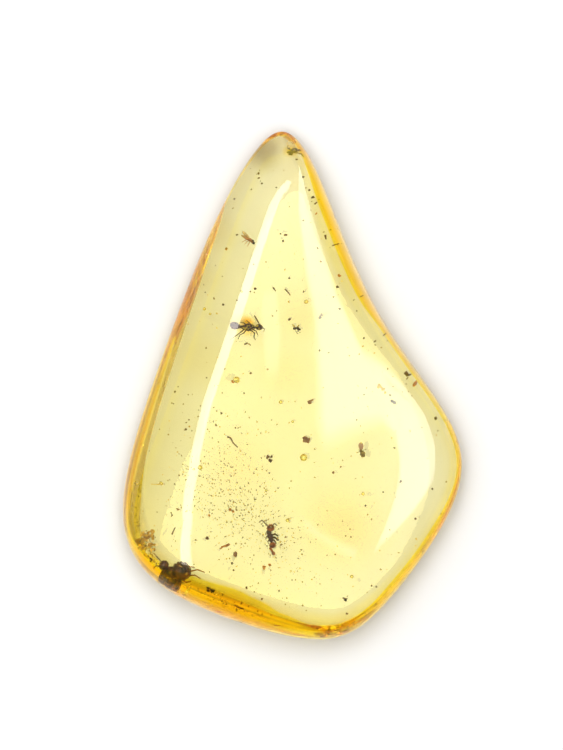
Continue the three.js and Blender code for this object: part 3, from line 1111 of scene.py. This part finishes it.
PANEL_HEIGHT = 0.45
OVERHEAD_RADIUS = 0.19
OVERHEAD_PLACE = (-0.06, 0.07)
TABLE_WHITE = (0.88, 0.89, 0.915)
TABLE_SIZE = 3.0  # half the width of the table
TABLE_FINE_SIZE = 0.045  # half the width of its finely divided middle
TABLE_FINE_CELLS = 110  # rows of cells in half that middle
SHADOW_REACH_MM = 1.2  # how far the dark edge under the drop reaches
SHADOW_LEAN_MM = 2.0  # how much further on the side it leans to
SHADOW_LEAN = (0.5, -1.0)
SHADOW_INSIDE_MM = 0.5
LIGHT_BOUNCES = 48  # enough for light that runs round inside the rim
VIEW_SHARE = 0.679  # share of the picture's height that the drop's length takes
VIEW_MIDDLE_MM = (-1.3, 1.18)  # the point of the table in the middle of the picture
VIEW_LEVEL = 4 * MM  # height over the table at which that share holds
SKY_WARM = 0.05  # how high, as the sine of the elevation, the horizon's warm light reaches
SKY_WHITE = 0.35  # how high the white surroundings start

PANEL_EDGE_GLOW = 0.12  # share of a panel's light left at its edge
# Each light panel is a flat polygon over the table. By name: the width of its faded edge, the crown slopes
# that mirror its corners to the camera, and its share of the panels' brightness.
PANELS = {
    "strip_panel": (
        0.009,
        [
            (0.01, -0.45), (0.12, -0.32), (0.19, -0.13), (0.215, -0.07), (0.185, 0.0), (0.175, 0.1),
            (0.22, 0.3), (0.27, 0.3), (0.225, 0.1), (0.255, -0.02), (0.305, -0.1), (0.28, -0.2),
            (0.24, -0.34), (0.085, -0.48),
        ],
        0.88,
    ),
    "window_panel": (
        0.022,
        [
            (-0.06, -0.67), (-0.07, -0.27), (-0.10, -0.09), (-0.09, 0.0), (-0.115, 0.026), (-0.19, 0.013),
            (-0.28, -0.004), (-0.33, 0.008), (-0.35, 0.04), (-0.35, 0.1), (-0.33, 0.21), (-0.40, 0.2),
            (-0.47, 0.18), (-0.60, 0.11), (-0.64, -0.02), (-0.60, -0.1), (-0.50, -0.125), (-0.26, -0.1),
            (-0.225, -0.14), (-0.205, -0.215), (-0.16, -0.37), (-0.12, -0.6),
        ],
        0.62,
    ),
    "streak_panel": (
        0.011,
        [
            (0.09, -0.13), (0.02, -0.12), (-0.015, -0.08), (-0.022, -0.045), (-0.018, -0.032),
            (0.012, -0.038), (0.06, -0.08), (0.085, -0.11),
        ],
        0.26,
    ),
    "faint_panel": (0.013, [(-0.07, 0.07), (-0.09, 0.105), (-0.27, 0.2), (-0.265, 0.165)], 0.34),
}


def mirrored_direction(slope_x, slope_y):
    """Where a ray from straight above goes after a mirror whose height rises by these slopes."""
    normal = Vector((-slope_x, -slope_y, 1.0)).normalized()
    return 2 * normal.z * normal - Vector((0.0, 0.0, 1.0))


def mirrored_panel(name, fade, slopes, brightness):
    """A light with a fading edge, seen only as a highlight on the crown, where the crown has these slopes."""
    bm = bmesh.new()
    glow = bm.verts.layers.float_vector.new("glow")
    corners = []
    for slope_x, slope_y in slopes:
        direction = mirrored_direction(slope_x, slope_y)
        corners.append(bm.verts.new(direction * (PANEL_HEIGHT / direction.z)))
    bm.faces.new(corners)
    bm.normal_update()
    bmesh.ops.inset_region(bm, faces=bm.faces[:], thickness=fade, use_boundary=True, use_even_offset=True)
    for vertex in bm.verts:
        share = PANEL_EDGE_GLOW if vertex.is_boundary else 1.0
        vertex[glow] = (share, share, share)
    panel = make_panel(name, bm, brightness)
    panel.visible_diffuse = False
    panel.visible_transmission = False


def overhead_panel(brightness):
    """The round light over the table, whose own image is kept off the crown."""
    bm = bmesh.new()
    bmesh.ops.create_circle(bm, cap_ends=True, segments=32, radius=OVERHEAD_RADIUS)
    bmesh.ops.translate(bm, verts=bm.verts, vec=(*OVERHEAD_PLACE, PANEL_HEIGHT))
    glow = bm.verts.layers.float_vector.new("glow")
    for vertex in bm.verts:
        vertex[glow] = (1.0, 1.0, 1.0)
    make_panel("overhead_panel", bm, brightness).visible_glossy = False


def make_panel(name, bm, brightness):
    """Turns a bmesh into a light panel, as bright at each corner as the share in `glow` says."""
    material, tree, glow = new_material(name, "ShaderNodeEmission")
    glow.inputs["Strength"].default_value = brightness
    light = tree.nodes.new("ShaderNodeAttribute")
    light.attribute_name = "glow"
    tree.links.new(light.outputs["Color"], glow.inputs["Color"])
    panel = mesh_object(name, bm, material)
    panel.visible_camera = False
    return panel


def table_mesh():
    """The table top: fine under the drop, so that `dim` can hold the soft dark edge where the drop rests."""
    bm = bmesh.new()
    cells = 2 * TABLE_FINE_CELLS
    bmesh.ops.create_grid(bm, x_segments=cells, y_segments=cells, size=TABLE_FINE_SIZE)
    rim = [e for e in bm.edges if e.is_boundary]
    made = bmesh.ops.extrude_edge_only(bm, edges=rim)["geom"]
    outer = [v for v in made if isinstance(v, bmesh.types.BMVert)]
    bmesh.ops.scale(bm, verts=outer, vec=Vector((1, 1, 1)) * (TABLE_SIZE / TABLE_FINE_SIZE))
    bmesh.ops.translate(bm, verts=bm.verts, vec=(0, 0, -FLOOR_GAP))
    dim = bm.verts.layers.float_vector.new("dim")
    points = outline_points()
    tree = kdtree.KDTree(len(points))
    for k, point in enumerate(points):
        tree.insert(point, k)
    tree.balance()
    middle = Vector((RIM_CENTRE_MM[0] * MM, RIM_CENTRE_MM[1] * MM, 0))
    lean = Vector(SHADOW_LEAN).normalized()
    for vertex in bm.verts:
        place = vertex.co * Vector((1, 1, 0))
        nearest, _, distance = tree.find(place)
        away = (nearest - middle).normalized().to_2d().dot(lean)
        reach = (SHADOW_REACH_MM + SHADOW_LEAN_MM * max(0.0, away)) * MM
        if (place - middle).length < (nearest - middle).length:
            reach = SHADOW_INSIDE_MM * MM
        vertex[dim] = (math.exp(-distance / reach), 0.0, 0.0)
    return bm


def outline_points():
    """Points close together along the solid's widest outline, in plan."""
    bm = solid_mesh()
    points = []
    for edge in bm.edges:
        one, other = (face.normal.z > 0 for face in edge.link_faces)
        if one != other:
            start, end = (v.co for v in edge.verts)
            points += [start.lerp(end, k / RIM_SAMPLES) * Vector((1, 1, 0)) for k in range(RIM_SAMPLES)]
    bm.free()
    return points


class AMBER_OT_studio(bpy.types.Operator):
    """Make the white table, the light panels, the surroundings and the camera"""

    bl_idname = "amber.studio"
    bl_label = "Studio"

    def execute(self, context):
        studio = settings("amber_studio")
        scene = context.scene
        self.table(studio)
        for name, (fade, slopes, share) in PANELS.items():
            mirrored_panel(name, fade, slopes, share * studio.panel)
        overhead_panel(studio.overhead)
        self.surroundings(scene, studio)
        self.camera(scene, studio)
        scene.view_settings.view_transform = "Standard"
        cycles = scene.cycles
        cycles.max_bounces = cycles.glossy_bounces = cycles.transmission_bounces = LIGHT_BOUNCES
        return {"FINISHED"}

    def table(self, studio):
        """The white table, dimmed where the drop rests on it."""
        material, tree, shader = new_material("white_table")
        dim = named_vector(tree, "dim")[0]
        colour = mix_colour(tree, dim, TABLE_WHITE, tuple(studio.shadow))
        tree.links.new(colour, shader.inputs["Base Color"])
        shader.inputs["Roughness"].default_value = 0.7
        shader.inputs["Specular IOR Level"].default_value = 0.2
        mesh_object("table", table_mesh(), material)

    def surroundings(self, scene, studio):
        """Warm light low down round the table, and a plain white sky above it."""
        world = bpy.data.worlds.new("surroundings")
        world.use_nodes = True
        tree = world.node_tree
        direction = tree.nodes.new("ShaderNodeTexCoord")
        split = tree.nodes.new("ShaderNodeSeparateXYZ")
        tree.links.new(direction.outputs["Generated"], split.inputs["Vector"])
        white = (studio.ambient, studio.ambient, studio.ambient)
        stops = [(SKY_WARM, tuple(studio.horizon)), (SKY_WHITE, white)]
        sky = colour_ramp(tree, split.outputs["Z"], stops)
        tree.links.new(sky, tree.nodes["Background"].inputs["Color"])
        scene.world = world

    def camera(self, scene, studio):
        """The camera, straight above the drop."""
        data = bpy.data.cameras.new("camera")
        data.sensor_width = 36.0
        data.lens = studio.lens
        data.clip_start = 0.01
        data.clip_end = 10.0
        camera = bpy.data.objects.new("camera", data)
        distance = (AMBER_HIGH.y - AMBER_LOW.y) / VIEW_SHARE * data.lens / data.sensor_width
        camera.location = (VIEW_MIDDLE_MM[0] * MM, VIEW_MIDDLE_MM[1] * MM, VIEW_LEVEL + distance)
        scene.collection.objects.link(camera)
        scene.camera = camera


# ---------------------------------------------------------------- the sidebar and the run


class AMBER_PT_sidebar(bpy.types.Panel):
    """Settings and builders for the piece of amber"""

    bl_label = "Insects in amber"
    bl_idname = "AMBER_PT_sidebar"
    bl_space_type = "VIEW_3D"
    bl_region_type = "UI"
    bl_category = "Amber"

    def draw(self, context):
        for group in ("amber_resin", "amber_studio"):
            box = self.layout.box()
            owner = settings(group)
            for name in owner.bl_rna.properties.keys():
                if name not in ("rna_type", "name"):
                    box.prop(owner, name)
        for builder in BUILDERS:
            self.layout.operator(builder.bl_idname)


BUILDERS = (
    AMBER_OT_drop,
    AMBER_OT_bee,
    AMBER_OT_winged_ant,
    AMBER_OT_ant,
    AMBER_OT_flies,
    AMBER_OT_debris,
    AMBER_OT_dust,
    AMBER_OT_studio,
)
CLASSES = (AmberSettings, StudioSettings, *BUILDERS, AMBER_PT_sidebar)


def register():
    for cls in CLASSES:
        bpy.utils.register_class(cls)
    bpy.types.Scene.amber_resin = bpy.props.PointerProperty(type=AmberSettings)
    bpy.types.Scene.amber_studio = bpy.props.PointerProperty(type=StudioSettings)


def unregister():
    del bpy.types.Scene.amber_studio
    del bpy.types.Scene.amber_resin
    for cls in reversed(CLASSES):
        bpy.utils.unregister_class(cls)


def main():
    register()
    bpy.ops.amber.drop()
    bpy.ops.amber.bee()
    bpy.ops.amber.winged_ant()
    bpy.ops.amber.ant()
    bpy.ops.amber.flies()
    bpy.ops.amber.debris()
    bpy.ops.amber.dust()
    bpy.ops.amber.studio()


if __name__ == "__main__":
    main()
